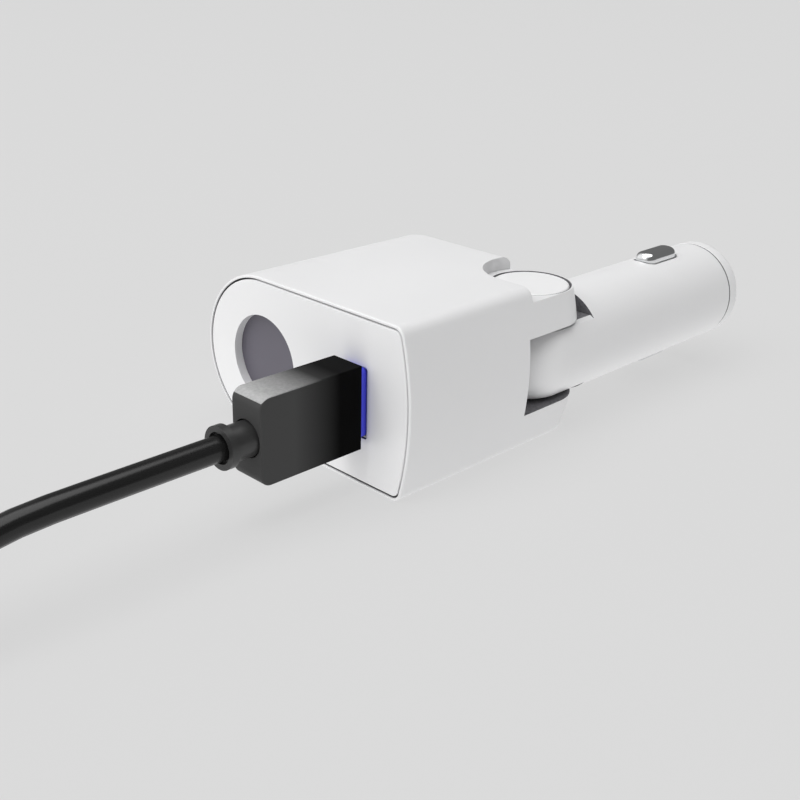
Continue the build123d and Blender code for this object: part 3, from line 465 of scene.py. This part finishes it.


# Lead's plug: a black grip moulded over a tinned sleeve, with a blue collar that shows at the face.
# The grip is satin, with painted shade that deepens its black towards the collar and a painted highlight on
# its top at the rear.
grip_low, grip_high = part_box("lead_grip")
shader, place = new_finish("grip_black", "lead_grip")
along = axes(place)[1]
reach = {"Value": along, "From Min": grip_low[1] + 0.007, "From Max": grip_high[1] - 0.005}
to_collar = along.node("ShaderNodeMapRange", {}, reach)
rear = {"Value": along, "From Min": grip_low[1] + 0.013, "From Max": grip_low[1] + 0.001}
# Painted highlight on the top at the rear, and painted shade that deepens the black towards the collar.
painted_shading = (facing(place)[2] > 0.6) * along.node("ShaderNodeMapRange", {}, rear)
satin_and_painted_shade = blend(to_collar, grey(0.060), grey(0.0005))
connect(blend(painted_shading * (0.5 + speckle(place, 0.0005) * 0.5), satin_and_painted_shade, grey(0.52)), shader["Base Color"])
connect(0.42 + to_collar * 0.25 + (speckle(place, 0.007) - 0.5) * 0.12, shader["Roughness"])
emboss(shader, speckle(place, 0.00022), 0.00001)
shader["Specular IOR Level"].default_value = 0.05

black_moulding(*new_finish("boot_rubber", "lead_boot"), (0.026, 0.026, 0.026), 0.36, 0.0004)
shader, place = new_finish("insert_plastic", "lead_insert")
white_moulding(shader, place, (0.62, 0.62, 0.62), 0.42, 0.0004, speckle(place, 0.002) > 0.75)
plating(*new_finish("sleeve_tin", "lead_shell"), tin, 0.24, lengthwise)
plating(*new_finish("lead_gilt", "lead_contacts"), gilt, 0.18, lengthwise)
shader, place = new_finish("collar_blue", "lead_collar")
dye = speckle(place, 0.004)
connect(blend(dye, (0.085, 0.095, 0.94, 1), (0.105, 0.115, 1.0, 1)), shader["Base Color"])
connect(0.34 + dye * 0.12, shader["Roughness"])


# Cable: a round black cord in smooth glossy vinyl, about a metre from the strain relief to the far plug.
# Its first run goes straight out and down; the rest is wound in five and a half turns, in two layers.
cable_x = 0.0138
run = np.array([
    (cable_x, -0.0834, 0.0160),
    (cable_x, -0.1030, 0.0160),
    (cable_x, -0.1240, 0.015828),
    (cable_x, -0.1434, 0.008604),
])
rows = np.array([0.0304, 0.0260, 0.0216])
coil_x, coil_y = cable_x - rows[0], -0.1614
high, low = 0.0074, 0.0030
turn_count, points_per_turn, tiny = 5.5, 24, 1e-9
turns = np.arange(0, turn_count + tiny, 1 / points_per_turn)
lap = np.floor(turns + tiny).astype(int)
# Each lap keeps its row, then eases into the next one over 60 degrees; the third lap eases down a layer
eased = np.clip(((turns - lap) * 360 - np.array([270, 270, 270, 210, 210, 210])[lap]) / 60, 0, 1)
eased = eased * eased * (3 - 2 * eased)
row_from = rows[np.array([0, 1, 2, 2, 1, 0])[lap]]
row_to = rows[np.array([1, 2, 2, 1, 0, 0])[lap]]
# The spline passes inside its points by this share of the radius
inside = 0.9914
radius = (row_from + (row_to - row_from) * eased) / inside
height = np.where(lap < 2, high, np.where(lap == 2, high + (low - high) * eased, low))
angle = -2 * np.pi * turns
coil = np.column_stack([coil_x + radius * np.cos(angle), coil_y + radius * np.sin(angle), height])
tail = np.array([(coil_x - rows[0], coil_y + 0.010, low), (coil_x - rows[0], coil_y + 0.022, low)])
route = np.vstack([run, coil, tail])
cable_line = bpy.data.curves.new("cable", "CURVE")
cable_line.dimensions = "3D"
cable_line.bevel_depth = 0.0022
cable_line.bevel_resolution = 5
cable_line.resolution_u = 4
cable_line.use_fill_caps = True
spline = cable_line.splines.new("NURBS")
spline.points.add(len(route) - 1)
spline.points.foreach_set("co", np.column_stack([route, np.ones(len(route))]).ravel())
spline.order_u = 3
spline.use_endpoint_u = True
cable = bpy.data.objects.new("cable", cable_line)
bpy.context.collection.objects.link(cable)
shader, place = new_finish("cable_vinyl")
flow = speckle(place, 0.0014, (1.0, 0.03, 1.0))
connect(blend(flow, grey(0.004), grey(0.018)), shader["Base Color"])
connect(0.18 + flow * 0.10, shader["Roughness"])
shader["Specular IOR Level"].default_value = 0.4
emboss(shader, flow, 0.00001)
cable_line.materials.append(bpy.data.materials["cable_vinyl"])
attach(cable, "head")
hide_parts("cable_run", "cable_coil", "cable_tail")


# Cable tie: a black hook-and-loop strap closed round all the turns.
# It is cut from woven tape, so its outside is fuzzy and dull.
shader, place = new_finish("tie_tape", "cable_tie")
loops = place.node("ShaderNodeTexVoronoi", {}, {"Vector": place, "Scale": 1800.0})
lint = speckle(place, 0.0011)
connect(blend(lint, (0.010, 0.010, 0.011, 1), (0.045, 0.045, 0.047, 1)), shader["Base Color"])
connect(0.75 + lint * 0.2, shader["Roughness"])
emboss(shader, loops, 0.00015)


# Far plug: a small flat grip in the same black as the first, with a drawn nickel mouth.
# It lies on the floor beside the coil, at the end of the last turn.
black_moulding(*new_finish("far_black", "far_grip"), (0.030, 0.030, 0.030), 0.46, 0.0003)
plating(*new_finish("far_nickel", "far_shell"), (0.72, 0.72, 0.71), 0.20, lengthwise)
